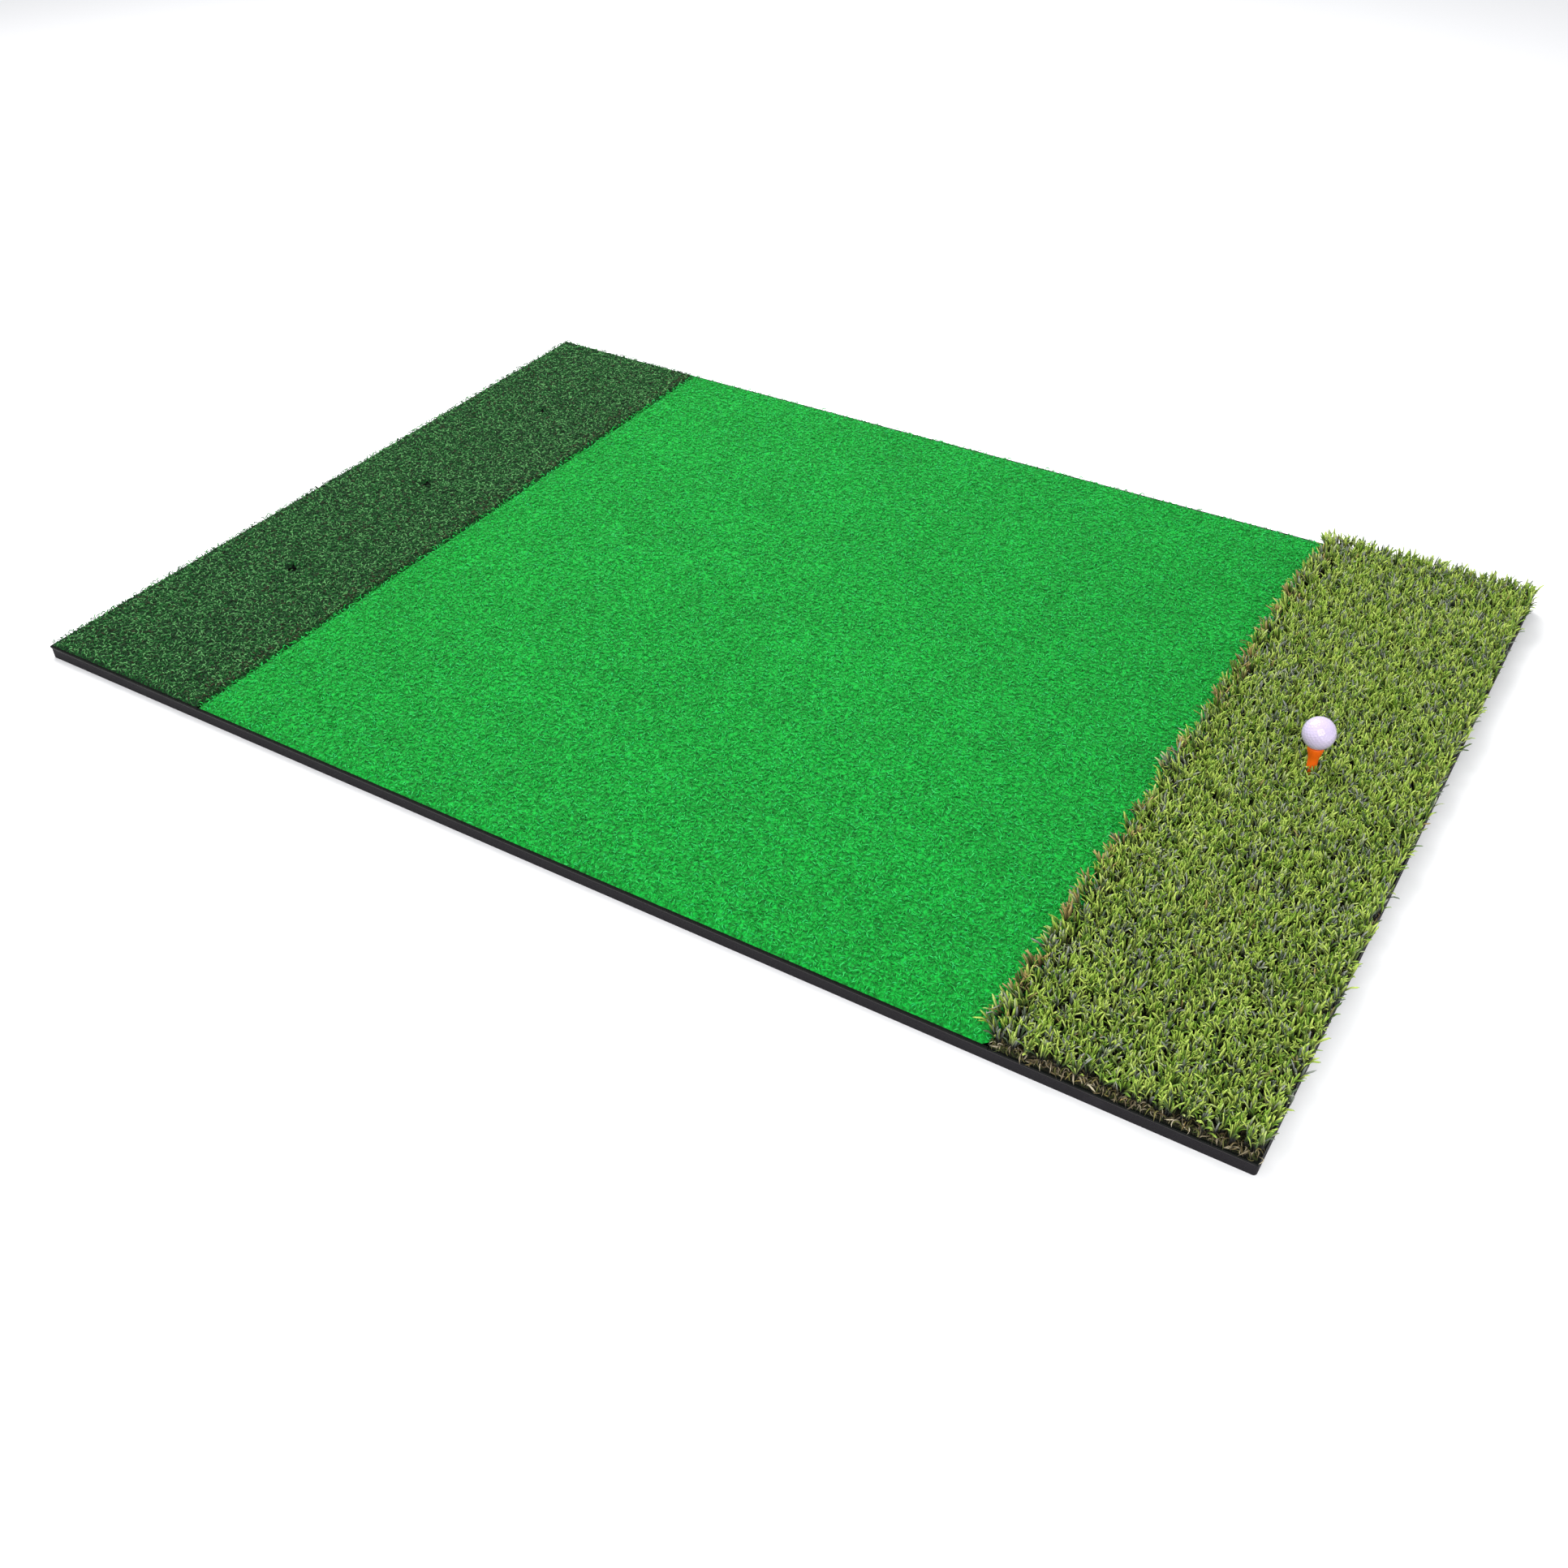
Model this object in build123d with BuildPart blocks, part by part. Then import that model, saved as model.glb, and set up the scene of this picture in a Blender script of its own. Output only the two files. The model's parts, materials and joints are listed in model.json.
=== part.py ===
"""Golf hitting mat.

Three strips of artificial turf lie side by side on one sheet of foam: a dark, tightly
curled fairway strip with tee holes, a wide stance strip, and a long-bladed rough strip
that carries a rubber tee with a ball on it.

Frame: the origin is the middle of the underside. +X runs along the length, from the
fairway strip to the rough strip, +Y runs across the width and +Z is up. Millimetres.
"""

import math
import os

from build123d import *

# Plan of the mat
mat_width = 1200.0
fairway_strip = 300.0
stance_strip = 1200.0
rough_strip = 300.0
corner_radius = 4.0
seam_gap = 1.0  # open line between two neighbouring strips
pile_inset = 3.0  # the yarn stops this far inside the cut edge of the mat

# Layers, from the floor up
foam_thickness = 15.0
glue_thickness = 0.5
latex_thickness = 2.0
cloth_thickness = 1.0
fairway_pile = 9.0
stance_pile = 8.0
thatch_height = 12.0
blade_height = 16.0  # what the long blades show above the thatch
pile_rounding = 2.5
rough_rounding = 6.0

# Tee holes of the fairway strip
tee_hole_radius = 7.0
tee_hole_pitch = 305.0
tee_hole_count = 3
tee_hole_row_offset = 33.0  # the row sits a little towards the far edge
yarn_parting = 1.5  # the yarn leans back this far around a hole

# Rubber tee
tee_offset = 15.0  # from the middle of the width
stem_radius = 6.5
stem_bore = 3.5
stem_clearance = 0.5  # in the hole that the rubber tee stands in
flange_radius = 22.0
flange_thickness = 3.0
flange_clearance = 1.0
stand_out = 29.5  # rim above the tips of the rough
flex_lift = 2.0  # bending point above the tips of the rough
flex_overhang = 2.0  # how far the rounded end on which the upper half rolls exceeds the stem
flex_clearance = 0.3
cup_radius = 10.8
cup_waist = 9.8
cup_wall_height = 13.0
rim_rounding = 1.2
seat_radius = 8.6
throat_radius = 7.0
throat_depth = 12.0

# Ball
ball_radius = 42.67 / 2
ball_clearance = 0.3

# Worked out from the sizes above
mat_length = fairway_strip + stance_strip + rough_strip
left_edge = -mat_length / 2
fairway_seam = left_edge + fairway_strip
rough_seam = fairway_seam + stance_strip
right_edge = rough_seam + rough_strip

glue_bottom = foam_thickness
latex_bottom = glue_bottom + glue_thickness
cloth_bottom = latex_bottom + latex_thickness
pile_bottom = cloth_bottom + cloth_thickness
blade_bottom = pile_bottom + thatch_height
rough_top = blade_bottom + blade_height

fairway_middle = left_edge + fairway_strip / 2
tee_x = rough_seam + rough_strip / 2
tee_hole_row = [
    (fairway_middle, tee_hole_row_offset + tee_hole_pitch * (i - (tee_hole_count - 1) / 2))
    for i in range(tee_hole_count)
]
tee_place = (tee_x, tee_offset)
stem_hole_radius = stem_radius + stem_clearance
flex_radius = stem_radius + flex_overhang
flex_height = rough_top + flex_lift
rim_height = rough_top + stand_out

os.makedirs("parts", exist_ok=True)


def save(piece, label):
    """Label a finished piece and write its STEP file."""
    piece.part.label = label
    export_step(piece.part, f"parts/{label}.step")


def layer(x_low, x_high, bottom, thickness, holes, hole_radius, inset=0.0, rounding=0.0):
    """A flat sheet of one strip, with round holes through it and rounded upper edges.

    inset draws it back from the mat's outer edges only, so neighbours still meet at a seam.
    """
    low = x_low + (inset if x_low == left_edge else seam_gap / 2)
    high = x_high - (inset if x_high == right_edge else seam_gap / 2)
    with BuildPart() as sheet:
        with BuildSketch(Plane.XY.offset(bottom)):
            with Locations(((low + high) / 2, 0)):
                Rectangle(high - low, mat_width - 2 * inset)
        extrude(amount=thickness)
        if rounding:
            fillet(sheet.edges().group_by(Axis.Z)[-1], radius=rounding)
        if holes:
            with BuildSketch(Plane.XY.offset(bottom)):
                with Locations(*holes):
                    Circle(hole_radius)
            extrude(amount=thickness, mode=Mode.SUBTRACT)
    return sheet


# Foam base: one sheet, punched for the tees and hollowed under the rubber tee's flange
with BuildPart() as foam_base:
    with BuildSketch():
        RectangleRounded(mat_length, mat_width, corner_radius)
    extrude(amount=foam_thickness)
    with BuildSketch():
        with Locations(*tee_hole_row):
            Circle(tee_hole_radius)
        with Locations(tee_place):
            Circle(stem_hole_radius)
    extrude(amount=foam_thickness, mode=Mode.SUBTRACT)
    with BuildSketch():
        with Locations(tee_place):
            Circle(flange_radius + flange_clearance)
    extrude(amount=flange_thickness, mode=Mode.SUBTRACT)
save(foam_base, "foam_base")

# Glue film: one sheet of hot-melt over the whole foam
with BuildPart() as glue_film:
    with BuildSketch(Plane.XY.offset(glue_bottom)):
        RectangleRounded(mat_length, mat_width, corner_radius)
        with Locations(*tee_hole_row):
            Circle(tee_hole_radius, mode=Mode.SUBTRACT)
        with Locations(tee_place):
            Circle(stem_hole_radius, mode=Mode.SUBTRACT)
    extrude(amount=glue_thickness)
save(glue_film, "glue_film")

# Backing of each strip: a latex coat underneath and the woven cloth that holds the tufts
strips = {
    "fairway": (left_edge, fairway_seam, tee_hole_row, tee_hole_radius),
    "stance": (fairway_seam, rough_seam, [], 0.0),
    "rough": (rough_seam, right_edge, [tee_place], stem_hole_radius),
}
for strip, (x_low, x_high, holes, hole_radius) in strips.items():
    latex = layer(x_low, x_high, latex_bottom, latex_thickness, holes, hole_radius)
    save(latex, f"{strip}_latex")
    cloth = layer(x_low, x_high, cloth_bottom, cloth_thickness, holes, hole_radius)
    save(cloth, f"{strip}_cloth")

# Pile of each strip, as the closed space that the yarn fills; the rough has two layers
piles = [
    ("fairway", "pile", pile_bottom, fairway_pile, pile_rounding),
    ("stance", "pile", pile_bottom, stance_pile, pile_rounding),
    ("rough", "thatch", pile_bottom, thatch_height, 0.0),
    ("rough", "blades", blade_bottom, blade_height, rough_rounding),
]
for strip, kind, bottom, height, rounding in piles:
    x_low, x_high, holes, hole_radius = strips[strip]
    parting_radius = hole_radius + yarn_parting
    pile = layer(x_low, x_high, bottom, height, holes, parting_radius, pile_inset, rounding)
    save(pile, f"{strip}_{kind}")

# Rubber tee: profiles stand in the XZ plane through the tee's axis and are turned about it
tee_plane = Plane(origin=(*tee_place, 0), x_dir=(1, 0, 0), z_dir=(0, -1, 0))
tee_axis = Axis((*tee_place, 0), (0, 0, 1))


def on_sphere(radius, reach):
    """Height above the sphere's centre at which its surface is reach away from the axis."""
    return math.sqrt(radius**2 - reach**2)


def sphere_arc(centre_height, radius, inner_reach, outer_reach):
    """Arc of a sphere about the tee's axis, from the outer reach to the inner one."""
    first = math.degrees(math.acos(outer_reach / radius))
    last = math.degrees(math.acos(inner_reach / radius))
    return CenterArc((0, centre_height), radius, first, last - first)


# Lower half: the flange lies in the foam and the hollow stem stands up through the turf
with BuildPart() as tee_foot:
    with BuildSketch(tee_plane):
        with BuildLine():
            dome = sphere_arc(flex_height, flex_radius, stem_bore, stem_radius)
            Polyline(
                dome @ 1,
                (stem_bore, 0),
                (flange_radius, 0),
                (flange_radius, flange_thickness),
                (stem_radius, flange_thickness),
                dome @ 0,
            )
        make_face()
    revolve(axis=tee_axis)
save(tee_foot, "tee_foot")

# Upper half: it starts on the rounded end, widens into the cup and carries the ball
ball_height = rim_height + on_sphere(ball_radius + ball_clearance, seat_radius)
socket_radius = flex_radius + flex_clearance
with BuildPart() as tee_cup:
    with BuildSketch(tee_plane):
        with BuildLine():
            socket = sphere_arc(flex_height, socket_radius, stem_bore, stem_radius)
            seat_low = ball_height - on_sphere(ball_radius + ball_clearance, throat_radius)
            seat = ThreePointArc(
                (seat_radius, rim_height),
                (
                    (seat_radius + throat_radius) / 2,
                    ball_height - on_sphere(ball_radius + ball_clearance, (seat_radius + throat_radius) / 2),
                ),
                (throat_radius, seat_low),
            )
            Polyline(seat @ 1, (stem_bore, rim_height - throat_depth), socket @ 1)
            waist = (cup_waist, rim_height - cup_wall_height)
            wall = Line(waist, (cup_radius, rim_height - rim_rounding))
            Spline(socket @ 0, waist, tangents=[(0, 1), wall % 0])
            RadiusArc(wall @ 1, (cup_radius - rim_rounding, rim_height), -rim_rounding)
            Line((cup_radius - rim_rounding, rim_height), seat @ 0)
        make_face()
    revolve(axis=tee_axis)
save(tee_cup, "tee_cup")

# Ball, resting in the cup
with BuildPart() as golf_ball:
    with Locations((*tee_place, ball_height)):
        Sphere(ball_radius)
save(golf_ball, "golf_ball")
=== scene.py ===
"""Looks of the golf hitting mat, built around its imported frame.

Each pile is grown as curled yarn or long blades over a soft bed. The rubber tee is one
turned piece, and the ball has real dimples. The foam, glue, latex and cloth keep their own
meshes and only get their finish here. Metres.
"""

import json
import math

import bpy
from bpy.props import FloatProperty, FloatVectorProperty, IntProperty, PointerProperty
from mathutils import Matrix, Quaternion, Vector


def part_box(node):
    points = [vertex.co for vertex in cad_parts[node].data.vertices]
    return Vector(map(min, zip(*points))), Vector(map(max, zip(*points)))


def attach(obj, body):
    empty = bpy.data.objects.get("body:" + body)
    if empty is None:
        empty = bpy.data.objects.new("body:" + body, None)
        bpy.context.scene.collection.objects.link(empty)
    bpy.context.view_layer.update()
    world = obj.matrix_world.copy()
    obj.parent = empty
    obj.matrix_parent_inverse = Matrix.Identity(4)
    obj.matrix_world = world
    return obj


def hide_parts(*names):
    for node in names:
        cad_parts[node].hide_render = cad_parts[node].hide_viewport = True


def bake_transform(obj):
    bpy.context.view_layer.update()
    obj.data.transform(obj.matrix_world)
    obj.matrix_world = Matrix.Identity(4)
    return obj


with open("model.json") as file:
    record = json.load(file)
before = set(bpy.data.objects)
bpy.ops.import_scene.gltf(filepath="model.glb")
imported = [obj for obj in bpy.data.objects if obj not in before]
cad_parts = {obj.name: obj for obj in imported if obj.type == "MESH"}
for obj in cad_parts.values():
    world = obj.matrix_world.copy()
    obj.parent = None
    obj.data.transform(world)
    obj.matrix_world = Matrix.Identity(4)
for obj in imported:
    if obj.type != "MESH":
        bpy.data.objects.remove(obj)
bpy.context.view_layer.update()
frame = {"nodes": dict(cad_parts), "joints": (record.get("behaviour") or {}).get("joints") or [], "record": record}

bl_info = {
    "name": "Golf Hitting Mat",
    "version": (1, 0, 0),
    "blender": (4, 5, 0),
    "location": "3D View > Sidebar > Golf Mat",
    "description": "Grows the turf, tee and ball of a golf hitting mat around its frame",
    "category": "Add Mesh",
}

UP = (0.0, 0.0, 1.0)
# A pile without holes still needs one opening to measure from, so it gets one far away
NO_OPENING = [(100.0, 100.0, 0.0)]
STRAND_SIDES = 3
# This close to an opening, strands stand up straighter and a little taller
UPRIGHT_REACH = 0.016
# Attributes that a tree only needs while it runs
HELPERS = ("along", "around", "tone", "lean_x", "lean_y", "growth", "aside", "away")


def linear(red, green, blue):
    """A colour given in 0 to 255 screen values, as the linear one that shaders use."""
    shares = [value / 255 for value in (red, green, blue)]
    levels = [s / 12.92 if s <= 0.04045 else ((s + 0.055) / 1.055) ** 2.4 for s in shares]
    return (*levels, 1.0)


def length_setting(name, description, default):
    return FloatProperty(name=name, description=description, default=default, min=0.0,
                         precision=4, unit="LENGTH")


def share_setting(name, description, default):
    return FloatProperty(name=name, description=description, default=default, min=0.0)


def colour_setting(name, description, default):
    return FloatVectorProperty(name=name, description=description, default=default, size=4,
                               min=0.0, max=1.0, subtype="COLOR")


def camera_setting(name, description, default):
    return FloatProperty(name=name, description=description, default=default)


def seed_setting(default):
    return IntProperty(name="Seed", description="Start of the random scatter", default=default)


# Node trees written as expressions


class Wire:
    """One output socket of a node tree. Arithmetic on it adds Math nodes to its graph."""

    def __init__(self, graph, socket):
        self.graph = graph
        self.socket = socket

    def maths(self, operation, *values):
        settings = {"operation": operation}
        return self.graph.node("ShaderNodeMath", settings, dict(enumerate(values)))

    def __add__(self, other):
        return self.maths("ADD", self, other)

    def __radd__(self, other):
        return self.maths("ADD", other, self)

    def __sub__(self, other):
        return self.maths("SUBTRACT", self, other)

    def __rsub__(self, other):
        return self.maths("SUBTRACT", other, self)

    def __mul__(self, other):
        return self.maths("MULTIPLY", self, other)

    def __rmul__(self, other):
        return self.maths("MULTIPLY", other, self)

    def __truediv__(self, other):
        return self.maths("DIVIDE", self, other)

    def __pow__(self, other):
        return self.maths("POWER", self, other)

    def __lt__(self, other):
        return self.maths("LESS_THAN", self, other)

    def least(self, other):
        return self.maths("MINIMUM", self, other)

    def most(self, other):
        return self.maths("MAXIMUM", self, other)

    def held(self, low=0.0, high=1.0):
        """This value kept between low and high."""
        return self.most(low).least(high)

    def sine(self):
        return self.maths("SINE", self)

    def parts(self):
        """The X, Y and Z of a vector."""
        split = self.graph.node("ShaderNodeSeparateXYZ", {}, {0: self}).socket.node
        return [Wire(self.graph, socket) for socket in split.outputs]


class Graph:
    """Adds nodes to one node tree and links them."""

    def __init__(self, tree):
        self.tree = tree

    def node(self, kind, settings=None, inputs=None, output=0):
        """Add a node: its settings first, then the values or links of its sockets."""
        made = self.tree.nodes.new(kind)
        for name, value in (settings or {}).items():
            if name == "stops":
                self.set_stops(made.color_ramp, value)
            else:
                setattr(made, name, value)
        for key, value in (inputs or {}).items():
            if isinstance(value, Wire):
                self.tree.links.new(value.socket, made.inputs[key])
            else:
                made.inputs[key].default_value = value
        return Wire(self, made.outputs[output])

    def set_stops(self, ramp, stops):
        while len(ramp.elements) < len(stops):
            ramp.elements.new(0.5)
        for element, (place, colour) in zip(ramp.elements, stops):
            element.position = place
            element.color = colour

    def vector(self, x, y, z):
        return self.node("ShaderNodeCombineXYZ", {}, {"X": x, "Y": y, "Z": z})

    def vector_maths(self, operation, *values):
        settings = {"operation": operation}
        return self.node("ShaderNodeVectorMath", settings, dict(enumerate(values)))

    def scaled(self, vector, factor):
        inputs = {"Vector": vector, "Scale": factor}
        return self.node("ShaderNodeVectorMath", {"operation": "SCALE"}, inputs)

    def mixed(self, share, first, second):
        """Two colours mixed by share."""
        inputs = {0: share, 6: first, 7: second}
        return self.node("ShaderNodeMix", {"data_type": "RGBA"}, inputs, output=2)

    def noise(self, place, scale, detail=2.0, roughness=0.5, output="Fac"):
        inputs = {"Vector": place, "Scale": scale, "Detail": detail, "Roughness": roughness}
        return self.node("ShaderNodeTexNoise", {}, inputs, output)

    def cells(self, place, scale, feature="F1"):
        inputs = {"Vector": place, "Scale": scale}
        return self.node("ShaderNodeTexVoronoi", {"feature": feature}, inputs, "Distance")

    def ramp(self, share, stops):
        return self.node("ShaderNodeValToRGB", {"stops": stops}, {"Fac": share})


# Materials


class Finish(Graph):
    """A material's node tree, with its Principled shader."""

    def __init__(self, name, **constants):
        self.material = bpy.data.materials.new(name)
        self.material.use_nodes = True
        super().__init__(self.material.node_tree)
        self.shader = next(n for n in self.tree.nodes if n.type == "BSDF_PRINCIPLED")
        for socket, value in constants.items():
            label = socket.replace("_", " ").title().replace("Ior", "IOR")
            self.shader.inputs[label].default_value = value

    def place(self):
        """Where a point lies in the mat's own frame."""
        return self.node("ShaderNodeTexCoord", output="Object")

    def feed(self, colour, roughness, height, depth, strength=1.0):
        """Link what changes over the surface: its colour, roughness and relief."""
        inputs = {"Strength": strength, "Distance": depth, "Height": height}
        normal = self.node("ShaderNodeBump", {}, inputs)
        for name, wire in (("Base Color", colour), ("Roughness", roughness), ("Normal", normal)):
            self.tree.links.new(wire.socket, self.shader.inputs[name])
        return self.material


def yarn_finish(name, tones, root_shade, gloss, gleam=0.15, shade_from=0.0, shade_to=0.45):
    """Yarn coloured along its own map: one tone across, with painted shade darker towards the root, where the pile
    shades its own lower part.
    """
    finish = Finish(name, sheen_weight=0.03, sheen_roughness=0.5, specular_ior_level=gleam)
    tone_place, along, _ = finish.node("ShaderNodeUVMap", {"uv_map": "OFBake"}).parts()
    stops = [(i / (len(tones) - 1), tone) for i, tone in enumerate(tones)]
    body = finish.ramp(tone_place, stops)
    streaks = finish.noise(finish.vector(tone_place * 160, along * 2.5, 0), 1.0, 3.0)
    body = finish.mixed(streaks * 0.35, body, finish.scaled(body, 0.55))
    # Painted shade: from shade_from to shade_to along the strand the colour rises from the dark root shade to the
    # yarn's own tone.
    share = ((along - shade_from) / (shade_to - shade_from)).held()
    colour = finish.mixed(share, root_shade, body)
    roughness = gloss + 0.18 * streaks
    return finish.feed(colour, roughness, streaks, 0.0002, 0.4)


def shaded_bed_finish(name, dark, middle, light, curl):
    """The depth of a pile, seen between its yarns: a dense mass of small curls, coloured a step darker than the
    yarn above as painted shade of the deep pile.
    """
    finish = Finish(name, sheen_weight=0.04, sheen_roughness=0.6, specular_ior_level=0.1)
    place = finish.place()
    wander = finish.scaled(finish.noise(place, 1.2 / curl, output="Color"), 0.6 * curl)
    curls = finish.noise(finish.vector_maths("ADD", place, wander), 1 / curl, 3.0, 0.6)
    patches = finish.noise(place, 9.0, 3.0)
    fluff = finish.noise(place, 2.4 / curl, 2.0)
    # Painted shade: the tone follows the curls' own relief, darker in the hollows between them.
    tone = (0.5 + (curls - 0.5) * 2.4 + (patches - 0.5) * 0.35).held()
    colour = finish.ramp(tone, [(0.1, dark), (0.5, middle), (0.85, light)])
    colour = finish.mixed((fluff - 0.55).held() * 1.6, colour, light)
    return finish.feed(colour, 0.7 + 0.25 * fluff, curls, 0.4 * curl)


def foam_finish():
    """Closed-cell foam, cut with a blade: fine cells, faint cutting lines and scuffs."""
    finish = Finish("foam", specular_ior_level=0.2)
    place = finish.place()
    across, depth, height = place.parts()
    cells = finish.cells(place, 700.0)
    scuffs = finish.noise(place, 14.0, 6.0, 0.65)
    lines = finish.noise(finish.vector(across * 3, depth * 3, height * 600), 1.0, 2.0)
    tint = finish.mixed(scuffs, linear(22, 21, 24), linear(33, 30, 34))
    # Painted shade: the cell pits, low in the bump, are darkened.
    colour = finish.mixed((0.75 - cells).held() * 0.5, tint, linear(12, 11, 13))
    dust = (scuffs - 0.62).held() * 1.4
    colour = finish.mixed(dust, colour, linear(70, 66, 72))
    return finish.feed(colour, 0.62 + 0.3 * scuffs, cells + 0.5 * lines, 0.0006, 0.7)


def glue_finish():
    """Smoky hot-melt film with small trapped bubbles."""
    finish = Finish("glue", coat_weight=0.3, coat_roughness=0.25)
    place = finish.place()
    bubbles = finish.cells(place, 420.0)
    waves = finish.noise(place, 60.0, 3.0)
    colour = finish.mixed(waves, linear(20, 17, 15), linear(42, 36, 30))
    return finish.feed(colour, 0.3 + 0.3 * waves, bubbles + waves, 0.0003)


def latex_finish():
    """Black latex coat with a granular, slightly glossy skin. Its near-black colour is partly the latex's own and
    partly painted shadow, the dark line of shade under the pile's edge.
    """
    finish = Finish("latex", specular_ior_level=0.12)
    place = finish.place()
    grains = finish.cells(place, 520.0, "SMOOTH_F1")
    skin = finish.noise(place, 90.0, 4.0)
    colour = finish.mixed(skin, linear(5, 6, 6), linear(16, 17, 17))
    return finish.feed(colour, 0.45 + 0.3 * skin, grains + 0.6 * skin, 0.0005)


def cloth_finish():
    """Flat-woven tape cloth: over and under in both directions. Its near-black colour is partly the cloth's own
    and partly painted shadow under the pile's edge.
    """
    finish = Finish("backing cloth", specular_ior_level=0.1)
    place = finish.place()
    across, depth, _ = place.parts()
    turns = 2 * math.pi / 0.0026
    weave = (across * turns).sine() * (depth * turns).sine()
    fuzz = finish.noise(place, 800.0, 3.0)
    shade = (0.5 + 0.35 * weave + 0.3 * (fuzz - 0.5)).held()
    colour = finish.mixed(shade, linear(5, 7, 6), linear(20, 25, 20))
    return finish.feed(colour, 0.55 + 0.25 * fuzz, weave + fuzz, 0.0005)


def rubber_finish(colour):
    """Soft moulded rubber: even matte skin, faint flow marks, dusty scuffs."""
    finish = Finish("tee rubber", specular_ior_level=0.45, coat_roughness=0.4)
    place = finish.place()
    skin = finish.cells(place, 2600.0)
    flow = finish.noise(place, 110.0, 4.0, 0.6)
    marks = (finish.noise(place, 320.0, 5.0, 0.7) - 0.58).held() * 2.5
    deep = finish.mixed(flow * 0.6, colour, linear(246, 74, 0))
    worn = finish.mixed(marks * 0.4, deep, linear(255, 150, 70))
    return finish.feed(worn, 0.38 + 0.25 * flow, skin + flow, 0.00025, 0.5)


def cover_finish(colour):
    """Painted ball cover under clear lacquer, with faint scuffs."""
    finish = Finish("ball cover", coat_weight=0.55, coat_roughness=0.08, specular_ior_level=0.5)
    place = finish.place()
    cloud = finish.noise(place, 60.0, 3.0)
    scuff = (finish.noise(place, 380.0, 6.0, 0.75) - 0.62).held() * 2.0
    tint = finish.mixed(cloud, colour, linear(216, 204, 232))
    worn = finish.mixed(scuff * 0.3, tint, linear(196, 192, 200))
    return finish.feed(worn, 0.22 + 0.2 * scuff, scuff + 0.3 * cloud, 0.0001, 0.4)


def floor_finish(colour):
    """Matte studio paper, with a faint cloud and grain."""
    finish = Finish("studio floor", specular_ior_level=0.15)
    place = finish.place()
    cloud = finish.noise(place, 1.5, 4.0)
    grain = finish.noise(place, 240.0, 3.0)
    tint = finish.mixed(cloud * 0.12, colour, linear(236, 237, 240))
    return finish.feed(tint, 0.75 + 0.15 * cloud, grain, 0.0002, 0.15)


# Growing and turning


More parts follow.
